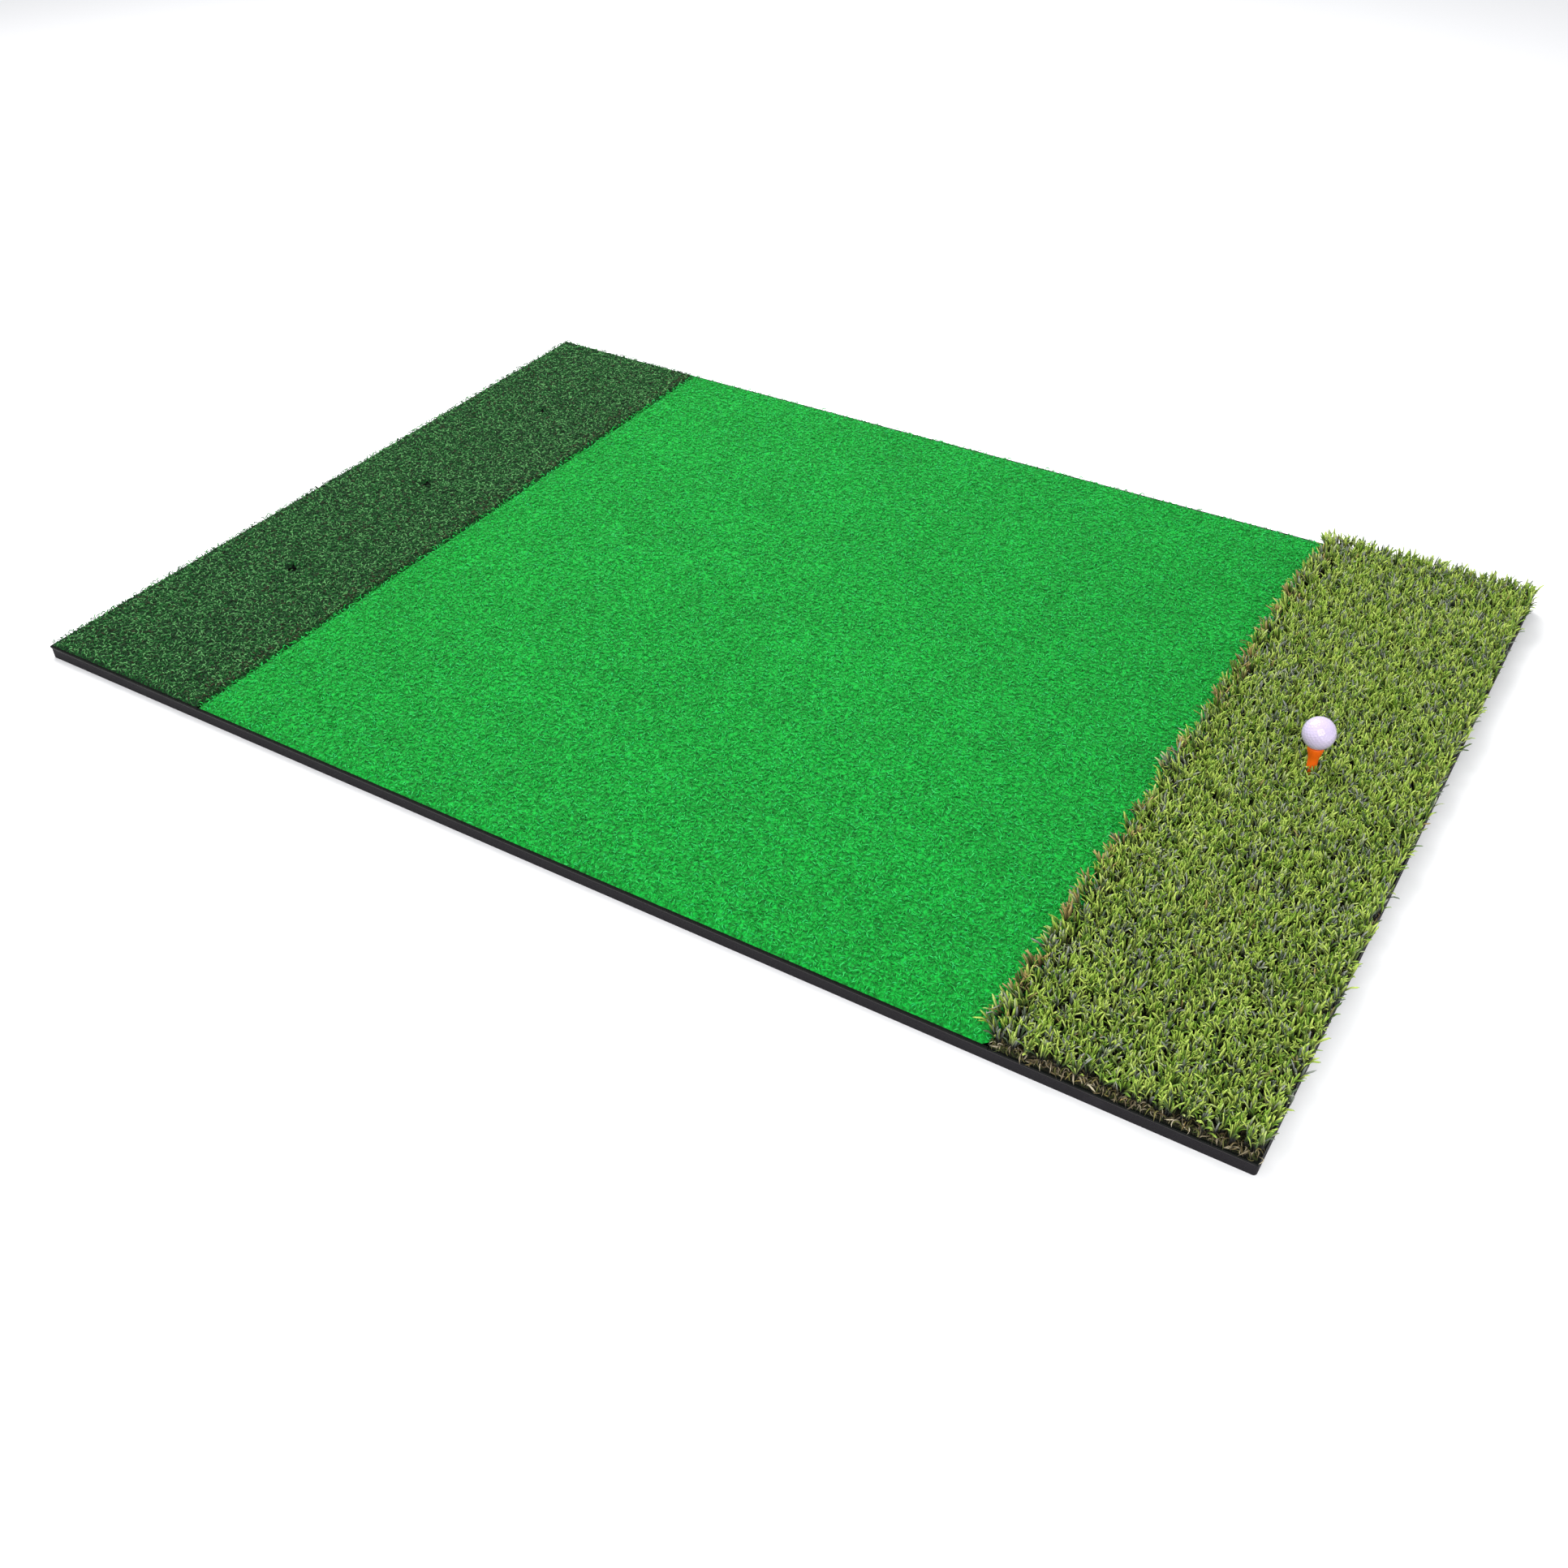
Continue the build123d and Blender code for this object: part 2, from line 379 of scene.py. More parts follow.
class Growth(Graph):
    """A Geometry Nodes tree with named inputs, which ends in Set Material."""

    KINDS = {float: "NodeSocketFloat", int: "NodeSocketInt"}

    def __init__(self, name, sizes):
        super().__init__(bpy.data.node_groups.new(name, "GeometryNodeTree"))
        self.sizes = sizes
        socket = self.tree.interface.new_socket
        socket("Geometry", in_out="INPUT", socket_type="NodeSocketGeometry")
        socket("Geometry", in_out="OUTPUT", socket_type="NodeSocketGeometry")
        for label, value in sizes.items():
            socket(label, in_out="INPUT", socket_type=self.KINDS[type(value)])
        socket("Material", in_out="INPUT", socket_type="NodeSocketMaterial")
        entry = self.tree.nodes.new("NodeGroupInput")
        self.given = {s.name: Wire(self, s) for s in entry.outputs if s.name}

    def __getitem__(self, label):
        return self.given[label]

    def random(self, salt, low=0.0, high=1.0):
        """A random number per element, from the tree's seed."""
        inputs = {2: low, 3: high, "Seed": self["Seed"] + salt}
        return self.node("FunctionNodeRandomValue", {"data_type": "FLOAT"}, inputs, output=1)

    def stored(self, geometry, name, value, kind="FLOAT", domain="POINT"):
        settings = {"data_type": kind, "domain": domain}
        inputs = {"Geometry": geometry, "Name": name, "Value": value}
        return self.node("GeometryNodeStoreNamedAttribute", settings, inputs)

    def recalled(self, name):
        settings = {"data_type": "FLOAT"}
        return self.node("GeometryNodeInputNamedAttribute", settings, {"Name": name})

    def moved(self, geometry, position=None, offset=None):
        inputs = {"Geometry": geometry}
        if position is not None:
            inputs["Position"] = position
        if offset is not None:
            inputs["Offset"] = offset
        return self.node("GeometryNodeSetPosition", {}, inputs)

    def place(self):
        return self.node("GeometryNodeInputPosition")

    def net(self, spacing):
        """Grid points over the field's rectangle, at z = 0."""
        wide, deep = self["High X"] - self["Low X"], self["High Y"] - self["Low Y"]
        inputs = {
            "Size X": wide, "Size Y": deep,
            "Vertices X": wide / spacing + 1.5, "Vertices Y": deep / spacing + 1.5,
        }
        grid = self.node("GeometryNodeMeshGrid", {}, inputs)
        centre_x = (self["High X"] + self["Low X"]) / 2
        centre_y = (self["High Y"] + self["Low Y"]) / 2
        return self.moved(grid, offset=self.vector(centre_x, centre_y, 0.0))

    def nearest_opening(self, output):
        """The closest opening's centre, or the distance to it."""
        return self.node("GeometryNodeProximity", {"target_element": "POINTS"},
                         {"Geometry": self["Geometry"]}, output)

    def without(self, geometry, selection):
        settings = {"domain": "POINT"}
        return self.node("GeometryNodeDeleteGeometry", settings,
                         {"Geometry": geometry, "Selection": selection})

    def finished(self, geometry):
        smooth = self.node("GeometryNodeSetShadeSmooth", {}, {"Geometry": geometry})
        dressed = self.node("GeometryNodeSetMaterial", {},
                            {"Geometry": smooth, "Material": self["Material"]})
        leave = self.tree.nodes.new("NodeGroupOutput")
        self.tree.links.new(dressed.socket, leave.inputs[0])

    def grown(self, name, material, openings=NO_OPENING, **changes):
        """Run the tree once and keep its result as a plain mesh."""
        start = bpy.data.meshes.new(name + "_start")
        start.from_pydata(openings, [], [])
        host = new_object(name + "_host", start)
        modifier = host.modifiers.new("Growth", "NODES")
        modifier.node_group = self.tree
        values = {**self.sizes, "Material": material}
        values.update({label.replace("_", " "): value for label, value in changes.items()})
        for item in self.tree.interface.items_tree:
            if item.in_out == "INPUT" and item.name in values:
                modifier[item.identifier] = values[item.name]
        ready = host.evaluated_get(bpy.context.evaluated_depsgraph_get())
        mesh = bpy.data.meshes.new_from_object(ready)
        bpy.data.objects.remove(host)
        for helper in HELPERS:
            if helper in mesh.attributes:
                mesh.attributes.remove(mesh.attributes[helper])
        mesh.materials.clear()
        mesh.materials.append(material)
        mesh.name = name
        return new_object(name, mesh)


def new_object(name, data):
    """An object for this mesh, light or camera, put in the scene."""
    piece = bpy.data.objects.new(name, data)
    bpy.context.scene.collection.objects.link(piece)
    return piece


def strand(growth, start, middle, end, steps, girth, flatness, crowding):
    """One closed strand along a bent line. Crowding above 1 draws its rings towards the tip."""
    line = growth.node("GeometryNodeCurveQuadraticBezier", {},
                       {"Resolution": steps, "Start": start, "Middle": middle, "End": end})
    even = growth.node("GeometryNodeSplineParameter", output="Factor")
    line = growth.stored(line, "along", 1 - (1 - even).held() ** crowding)
    along = growth.recalled("along")
    spots = growth.node("GeometryNodeSampleCurve", {"mode": "FACTOR"},
                        {"Curves": line, "Factor": along}, "Position")
    line = growth.moved(line, position=spots)
    ring = growth.node("GeometryNodeCurvePrimitiveCircle", {"mode": "RADIUS"},
                       {"Resolution": STRAND_SIDES, "Radius": 1.0})
    ring = growth.stored(ring, "around", growth.node("GeometryNodeInputIndex") / STRAND_SIDES)
    ring = growth.node("GeometryNodeTransform", {},
                       {"Geometry": ring, "Scale": (1.0, flatness, 1.0)})
    tube = growth.node("GeometryNodeCurveToMesh", {},
                       {"Curve": line, "Profile Curve": ring, "Scale": girth(along)})
    return growth.node("GeometryNodeMergeByDistance", {}, {"Geometry": tube, "Distance": 1e-5})


FIELD = {
    "Low X": 0.0, "High X": 1.0, "Low Y": 0.0, "High Y": 1.0, "Root Z": 0.0,
    "Spacing": 0.005, "Per Tuft": 1, "Tuft Width": 0.0, "Opening Radius": 0.0, "Seed": 1,
    "Edge Low X": 0.0, "Edge High X": 1.0, "Edge Low Y": 0.0, "Edge High Y": 1.0,
    "Lean Low X": 0.0, "Lean High X": 0.0, "Lean Low Y": 0.0, "Lean High Y": 0.0,
    "Lean Reach": 0.02, "Lean Wave": 0.0, "Edge Growth": 0.0,
    "Comb X": 0.0, "Comb Y": 0.0, "Tuft Lean": 0.0, "Fan": 0.0, "Loose Lean": 0.2,
    "Least Size": 0.8, "Most Size": 1.2, "Crumple": 0.001,
    "Tone Spread": 0.8, "Tuft Spread": 0.0, "Patch Spread": 0.3, "Tone Middle": 0.5,
    "Tone Low X": 0.0, "Tone High X": 0.0, "Tone Reach": 0.04,
    "Length": 0.01, "Height": 0.008, "Girth": 0.0008,
}


def strand_field(name, shapes, steps, girth, flatness, crowding=1.0):
    """A tree that scatters tufts of strands over a rectangle and leans them near its edges."""
    growth = Growth(name, FIELD)

    def thickness(along):
        return girth(along) * growth["Girth"]

    choices = growth.node("GeometryNodeJoinGeometry")
    for start, middle, end in shapes(growth):
        made = strand(growth, start, middle, end, steps, thickness, flatness, crowding)
        kept = growth.node("GeometryNodeGeometryToInstance", {}, {"Geometry": made})
        growth.tree.links.new(kept.socket, choices.socket.node.inputs[0])

    # One point per tuft, off the straight rows
    jitter = growth["Spacing"] * 0.5
    shift_x, shift_y = growth.random(1, -1.0) * jitter, growth.random(2, -1.0) * jitter
    tufts = growth.net(growth["Spacing"])
    tufts = growth.moved(tufts, offset=growth.vector(shift_x, shift_y, 0.0))

    # How each tuft leans, grows and is coloured, from where it stands
    x, y, _ = growth.place().parts()
    from_low, from_high = x - growth["Edge Low X"], growth["Edge High X"] - x
    near_low, near_high = y - growth["Edge Low Y"], growth["Edge High Y"] - y

    def falloff(distance, reach):
        return (1 - distance / reach).held() ** 1.4

    reach = growth["Lean Reach"]
    surge = 1 + (growth.noise(growth.vector(0.0, y, 0.0), 6.0, 2.0) - 0.5) * 2 * growth["Lean Wave"]
    lean_x = (growth["Lean High X"] * falloff(from_high, reach)
              - growth["Lean Low X"] * falloff(from_low, reach) * surge)
    lean_y = (growth["Lean High Y"] * falloff(near_high, reach)
              - growth["Lean Low Y"] * falloff(near_low, reach))
    drift_x, drift_y, _ = growth.noise(growth.place(), 70.0, 1.0, output="Color").parts()
    drift = growth["Tuft Lean"] * 2
    gap = growth.nearest_opening("Distance") - growth["Opening Radius"]
    room = (gap / UPRIGHT_REACH).held()
    lean_x = lean_x + growth["Comb X"] + (drift_x - 0.5) * drift
    lean_y = lean_y + growth["Comb Y"] + (drift_y - 0.5) * drift
    tufts = growth.stored(tufts, "lean_x", lean_x * room)
    tufts = growth.stored(tufts, "lean_y", lean_y * room)
    grown = (1 + growth["Edge Growth"] * falloff(from_low, reach) * surge) * (1.1 - 0.1 * room)
    tufts = growth.stored(tufts, "growth", grown)
    tone_edge = (growth["Tone Low X"] * falloff(from_low, growth["Tone Reach"])
                 + growth["Tone High X"] * falloff(from_high, growth["Tone Reach"]))
    patches = growth.noise(growth.place(), 7.0, 3.0)
    tone = (growth["Tone Middle"] + (growth.random(8) - 0.5) * growth["Tuft Spread"]
            + (patches - 0.5) * growth["Patch Spread"] + tone_edge)
    tufts = growth.stored(tufts, "tone", tone)

    # The strands of each tuft, side by side, with none in an opening
    points = growth.node("GeometryNodeDuplicateElements", {"domain": "POINT"},
                         {"Geometry": tufts, "Amount": growth["Per Tuft"]})
    aside, away = growth.random(9, -1.0), growth.random(10, -1.0)
    width = growth["Tuft Width"]
    points = growth.stored(points, "aside", aside)
    points = growth.stored(points, "away", away)
    points = growth.moved(points, offset=growth.vector(aside * width, away * width, 0.0))
    points = growth.without(points, growth.nearest_opening("Distance") < growth["Opening Radius"])
    points = growth.moved(points, offset=growth.vector(0.0, 0.0, growth["Root Z"]))

    # Each strand turned, leant and sized
    loose, fan = growth["Loose Lean"], growth["Fan"]
    lean = growth.vector(
        growth.recalled("lean_x") + growth.recalled("aside") * fan + growth.random(3, -1.0) * loose,
        growth.recalled("lean_y") + growth.recalled("away") * fan + growth.random(4, -1.0) * loose,
        1.0)
    turned = growth.node("FunctionNodeEulerToRotation", {},
                         {"Euler": growth.vector(0.0, 0.0, growth.random(5, 0.0, 2 * math.pi))})
    turned = growth.node("FunctionNodeAlignRotationToVector", {"axis": "Z"},
                         {"Rotation": turned, "Vector": lean})
    size = growth.random(6, growth["Least Size"], growth["Most Size"]) * growth.recalled("growth")
    strands = growth.node("GeometryNodeInstanceOnPoints", {}, {
        "Points": points, "Instance": choices, "Pick Instance": True,
        "Instance Index": growth.random(7, 0.0, 1000.0), "Rotation": turned,
        "Scale": growth.vector(size, size, size),
    })
    tone = (growth.recalled("tone") + (growth.random(11) - 0.5) * growth["Tone Spread"]).held()
    strands = growth.stored(strands, "tone", tone, domain="INSTANCE")
    yarn = growth.node("GeometryNodeRealizeInstances", {}, {"Geometry": strands})

    # Crumpled towards the tips, then mapped: tone across, root to tip upwards
    swirl = growth.noise(growth.place(), 260.0, 1.0, output="Color")
    swirl = growth.vector_maths("SUBTRACT", swirl, (0.5, 0.5, 0.5))
    yarn = growth.moved(yarn, offset=growth.scaled(swirl, growth["Crumple"] * growth.recalled("along")))
    across = 0.02 + 0.94 * growth.recalled("tone") + 0.02 * growth.recalled("around")
    up = 0.01 + 0.98 * growth.recalled("along")
    yarn = growth.stored(yarn, "OFBake", growth.vector(across, up, 0.0), "FLOAT2", "CORNER")
    growth.finished(yarn)
    return growth


def curl_shapes(growth):
    """Short yarns that rise, bend over sideways and go back into the pile."""
    half = growth["Length"] / 2
    for side in (-0.9, -0.45, -0.15, 0.2, 0.5, 0.95):
        rise = growth["Height"] * (2.1 - 0.3 * abs(side))
        start = growth.vector(half * -1, 0.0, growth["Height"] * -0.35)
        middle = growth.vector(half * (0.4 * side), growth["Length"] * side, rise)
        end = growth.vector(half, growth["Length"] * (0.15 * side), growth["Height"] * -0.35)
        yield start, middle, end


def blade_shapes(growth):
    """Long blades, from nearly straight to bent right over."""
    tall = growth["Height"]
    for bend in (0.05, 0.14, 0.26, 0.4, 0.55):
        start = growth.vector(0.0, 0.0, 0.0)
        middle = growth.vector(tall * (0.05 * bend), 0.0, tall * (0.72 - 0.12 * bend))
        end = growth.vector(tall * bend, 0.0, tall * (1.0 - 0.32 * bend))
        yield start, middle, end


def curl_girth(along):
    """Thin at both ends, which are buried."""
    return (along * (1 - along) * 4).most(0.0) ** 0.5


def blade_girth(along):
    """Thin at the root, widest low down, and rounded off at the tip."""
    return (along * 6).least(1.0) * ((1 - along) * 7).held() ** 0.5 * (1 - 0.25 * along)


BED = {
    "Low X": 0.0, "High X": 1.0, "Low Y": 0.0, "High Y": 1.0, "Root Z": 0.0, "Seed": 1,
    "Pitch": 0.006, "Height": 0.004, "Rounding": 0.006, "Opening Radius": 0.008, "Bumps": 0.0008,
}


def bed_tree():
    """A tree for the dense lower part of a pile: a soft sheet that comes down at every edge."""
    growth = Growth("Pile bed", BED)
    net = growth.net(growth["Pitch"])
    distance = growth.nearest_opening("Distance")
    radius = growth["Opening Radius"]
    net = growth.without(net, distance < radius - growth["Pitch"] * 0.5)
    centre = growth.nearest_opening("Position")
    outward = growth.vector_maths("NORMALIZE", growth.vector_maths("SUBTRACT", growth.place(), centre))
    rim = growth.vector_maths("ADD", centre, growth.scaled(outward, radius))
    near = distance < radius + growth["Pitch"] * 0.5
    net = growth.node("GeometryNodeSetPosition", {},
                      {"Geometry": net, "Selection": near, "Position": rim})
    x, y, _ = growth.place().parts()
    to_x = (x - growth["Low X"]).least(growth["High X"] - x)
    to_y = (y - growth["Low Y"]).least(growth["High Y"] - y)
    inside = to_x.least(to_y).least(growth.nearest_opening("Distance") - radius)
    fullness = (inside / growth["Rounding"]).held() ** 0.5
    bumps = (growth.noise(growth.place(), 130.0, 2.0) - 0.5) * 2 * growth["Bumps"]
    height = growth["Root Z"] + fullness * (growth["Height"] + bumps)
    net = growth.moved(net, offset=growth.vector(0.0, 0.0, height))
    growth.finished(net)
    return growth


def field_of(node):
    """The rectangle of a CAD pile, as a tree's inputs."""
    low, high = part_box(node)
    return {"Low_X": low.x, "High_X": high.x, "Low_Y": low.y, "High_Y": high.y}


def edges_of(node):
    """The same rectangle, as the edges that lean and tone are measured from."""
    return {f"Edge_{name}": value for name, value in field_of(node).items()}


def pieces_of(growth, name, count, field, material, openings, slot, node, **changes):
    """Grow a field as several pieces side by side along Y, each riding on the mat."""
    inset = changes.pop("Inset", 0.0)
    inwards = {"Low": inset, "High": -inset}
    field = {side: value + inwards[side.split("_")[0]] for side, value in field.items()}
    depth = (field["High_Y"] - field["Low_Y"]) / count
    seed = changes.pop("Seed")
    for i in range(count):
        low = field["Low_Y"] + i * depth
        part = {**field, "Low_Y": low, "High_Y": low + depth - changes.get("Spacing", 0.0)}
        label = f"{name}_{i + 1}" if count > 1 else name
        piece = growth.grown(label, material, openings, Seed=seed + 20 * i, **part, **changes)
        settle(piece, "mat", slot, node)


def settle(piece, body, slot, *nodes):
    """Let a piece ride on a body, in the place of its CAD nodes."""
    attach(piece, body)
    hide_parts(*nodes)


def tee_holes():
    """Centres and radius of the tee holes, from the frame's own mounts."""
    mounts = [m for m in frame["record"]["mounts"] if m["name"].startswith("tee_hole")]
    centres = [(m["pos_m"][0], m["pos_m"][1], 0.0) for m in mounts]
    return centres, mounts[0]["dims"]["r_mm"] / 1000


def tee_centre():
    low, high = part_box("tee_cup")
    return (low + high) / 2


# Settings


class FairwaySettings(bpy.types.PropertyGroup):
    spacing: length_setting("Spacing", "Between neighbouring yarns", 0.0038)
    length: length_setting("Curl length", "Across one curl", 0.0085)
    girth: length_setting("Yarn radius", "Half the yarn's width", 0.00085)
    parting: length_setting("Parting", "How far the yarn keeps off a tee hole", 0.0042)
    dark: colour_setting("Dark yarn", "Shaded yarn", linear(6, 42, 14))
    middle: colour_setting("Yarn", "Main yarn", linear(30, 106, 42))
    light: colour_setting("Light yarn", "Yarn that catches the light", linear(106, 174, 102))
    seed: seed_setting(11)


class StanceSettings(bpy.types.PropertyGroup):
    spacing: length_setting("Spacing", "Between neighbouring yarns", 0.0052)
    length: length_setting("Curl length", "Across one curl", 0.009)
    girth: length_setting("Yarn radius", "Half the yarn's width", 0.00085)
    dark: colour_setting("Dark yarn", "Shaded yarn", linear(8, 134, 42))
    middle: colour_setting("Yarn", "Main yarn", linear(14, 180, 61))
    light: colour_setting("Light yarn", "Yarn that catches the light", linear(50, 206, 96))
    seed: seed_setting(23)


class RoughSettings(bpy.types.PropertyGroup):
    spacing: length_setting("Spacing", "Between neighbouring tufts", 0.0085)
    per_tuft: IntProperty(name="Blades per tuft", description="Stitched in together", default=7, min=1)
    height: length_setting("Blade height", "A straight blade, from its root", 0.0295)
    girth: length_setting("Blade radius", "Half a blade's width", 0.002)
    bare_edge: length_setting("Bare edge", "Near edge where only thatch grows", 0.0045)
    overhang: share_setting("Overhang", "How far the blades lie over the stance strip", 0.5)
    # Deep green and yellow green are partly the blades' own mix of tones and partly painted light: deep green
    # blades stand in for shade in the gaps, yellow green ones for lit tips.
    dark: colour_setting("Deep green", "Oldest blades", linear(50, 82, 20))
    middle: colour_setting("Green", "Main blades", linear(128, 170, 46))
    light: colour_setting("Yellow green", "Young blades", linear(202, 224, 104))
    # This tone is painted reflection: blades that mirror the white sky.
    sky_glint: colour_setting("Silver", "Blades that turn their back", linear(152, 156, 150))
    straw: colour_setting("Straw", "Thatch between the roots", linear(206, 176, 112))
    brown: colour_setting("Brown", "Oldest thatch", linear(92, 76, 50))
    seed: seed_setting(37)


class TeeSettings(bpy.types.PropertyGroup):
    colour: colour_setting("Rubber", "Colour of the rubber tee", linear(255, 116, 0))
    segments: IntProperty(name="Segments", description="Round the tee", default=72, min=12)


class BallSettings(bpy.types.PropertyGroup):
    dimples: IntProperty(name="Dimples", description="How many cover the ball", default=332, min=12)
    width: length_setting("Dimple radius", "Half a dimple's width", 0.00178)
    depth: length_setting("Dimple depth", "At its middle", 0.00021)
    colour: colour_setting("Cover", "Colour of the cover", linear(198, 182, 220))


class StageSettings(bpy.types.PropertyGroup):
    floor: colour_setting("Floor", "Colour of the studio floor", linear(250, 250, 251))
    light: share_setting("Key light", "Watts of the soft key light", 140.0)
    sky: share_setting("Fill", "Strength of the even light all round", 0.64)
    azimuth: camera_setting("Azimuth", "Degrees round from the near side", 31.285)
    elevation: camera_setting("Elevation", "Degrees above the floor", 39.1)
    roll: camera_setting("Roll", "Degrees about the camera's own axis", -0.467)
    distance: length_setting("Distance", "Camera, from the point it faces", 2.129)
    lens: camera_setting("Lens", "Millimetres on a 36 mm sensor", 37.63)
    shift: camera_setting("Shift", "Sideways, as a share of the frame", -0.0238)


# Operators

# What the two short piles share: their edge yarns lean in, and every tone is used
SHORT_PILE = {
    "Inset": 0.0025, "Lean_Low_X": -0.2, "Lean_Low_Y": -0.3, "Lean_High_Y": -0.2,
    "Lean_Reach": 0.007, "Tone_Spread": 1.0,
}
FRINGE_DEPTH = 0.009


class GOLFMAT_OT_backing(bpy.types.Operator):
    """Give the foam, glue, latex and backing cloth their finishes"""

    bl_idname = "golfmat.backing"
    bl_label = "Finish the backing"

    def execute(self, context):
        finishes = {"foam": foam_finish(), "glue": glue_finish(), "latex": latex_finish(),
                    "cloth": cloth_finish()}
        for name, node in frame["nodes"].items():
            for word, finish in finishes.items():
                if word in name:
                    for holder in node.material_slots:
                        holder.material = finish
        return {"FINISHED"}


class GOLFMAT_OT_fairway(bpy.types.Operator):
    """Grow the dark, tightly curled fairway strip around its tee holes"""

    bl_idname = "golfmat.fairway"
    bl_label = "Grow the fairway strip"

    def execute(self, context):
        s = context.scene.golfmat_fairway
        node, slot = "fairway_pile", "fairway_yarn"
        low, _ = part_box(node)
        openings, radius = tee_holes()
        dark, middle, light = tuple(s.dark), tuple(s.middle), tuple(s.light)
        # Painted shade: the bed takes the yarn's darker tones and a darker green still, for the shade deep in the
        # pile.
        bed = bed_tree().grown(
            "fairway_bed", shaded_bed_finish("fairway bed", linear(10, 38, 18), dark, middle, 0.0035),
            openings, **field_of(node), Root_Z=low.z, Height=0.0048, Opening_Radius=radius + 0.001,
            Pitch=0.005, Seed=s.seed)
        settle(bed, "mat", slot, node)
        straw = linear(70, 62, 40)
        tones = [straw, dark, middle, light, dark, middle, light, middle, dark, light]
        yarn = yarn_finish("fairway yarn", tones, linear(12, 44, 20), 0.5)
        curls = strand_field("Fairway curls", curl_shapes, 3, curl_girth, 0.8)
        pieces_of(curls, "fairway_yarn", 2, field_of(node), yarn, openings, slot, node,
                  **edges_of(node), **SHORT_PILE, Root_Z=low.z + 0.0042, Spacing=s.spacing,
                  Seed=s.seed, Opening_Radius=radius + s.parting, Length=s.length, Height=0.0038,
                  Girth=s.girth, Lean_High_X=-0.2, Loose_Lean=0.3, Patch_Spread=0.25,
                  Tone_High_X=-0.3)
        return {"FINISHED"}


class GOLFMAT_OT_stance(bpy.types.Operator):
    """Grow the wide bright stance strip"""

    bl_idname = "golfmat.stance"
    bl_label = "Grow the stance strip"

    def execute(self, context):
        s = context.scene.golfmat_stance
        node, slot = "stance_pile", "stance_yarn"
        low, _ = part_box(node)
        dark, middle, light = tuple(s.dark), tuple(s.middle), tuple(s.light)
        # Painted shade: the bed takes the yarn's darker tones and a darker green still, for the shade deep in the
        # pile.
        bed = bed_tree().grown(
            "stance_bed", shaded_bed_finish("stance bed", linear(6, 92, 28), dark, middle, 0.0038),
            **field_of(node), Root_Z=low.z, Height=0.0044, Pitch=0.008, Seed=s.seed)
        settle(bed, "mat", slot, node)
        cool = linear(30, 188, 92)
        tones = [dark, middle, dark, middle, middle, light, middle, cool, light]
        yarn = yarn_finish("stance yarn", tones, linear(6, 96, 30), 0.45)
        curls = strand_field("Stance curls", curl_shapes, 3, curl_girth, 0.8)
        # Painted light: Tone High X shifts the yarn along the rough's side to lighter tones, for the lit yarn ends
        # there.
        pieces_of(curls, "stance_yarn", 4, field_of(node), yarn, NO_OPENING, slot, node,
                  **edges_of(node), **SHORT_PILE, Root_Z=low.z + 0.0038, Spacing=s.spacing,
                  Seed=s.seed, Length=s.length, Height=0.0034, Girth=s.girth, Loose_Lean=0.35,
                  Patch_Spread=0.2, Tone_High_X=0.25)
        return {"FINISHED"}


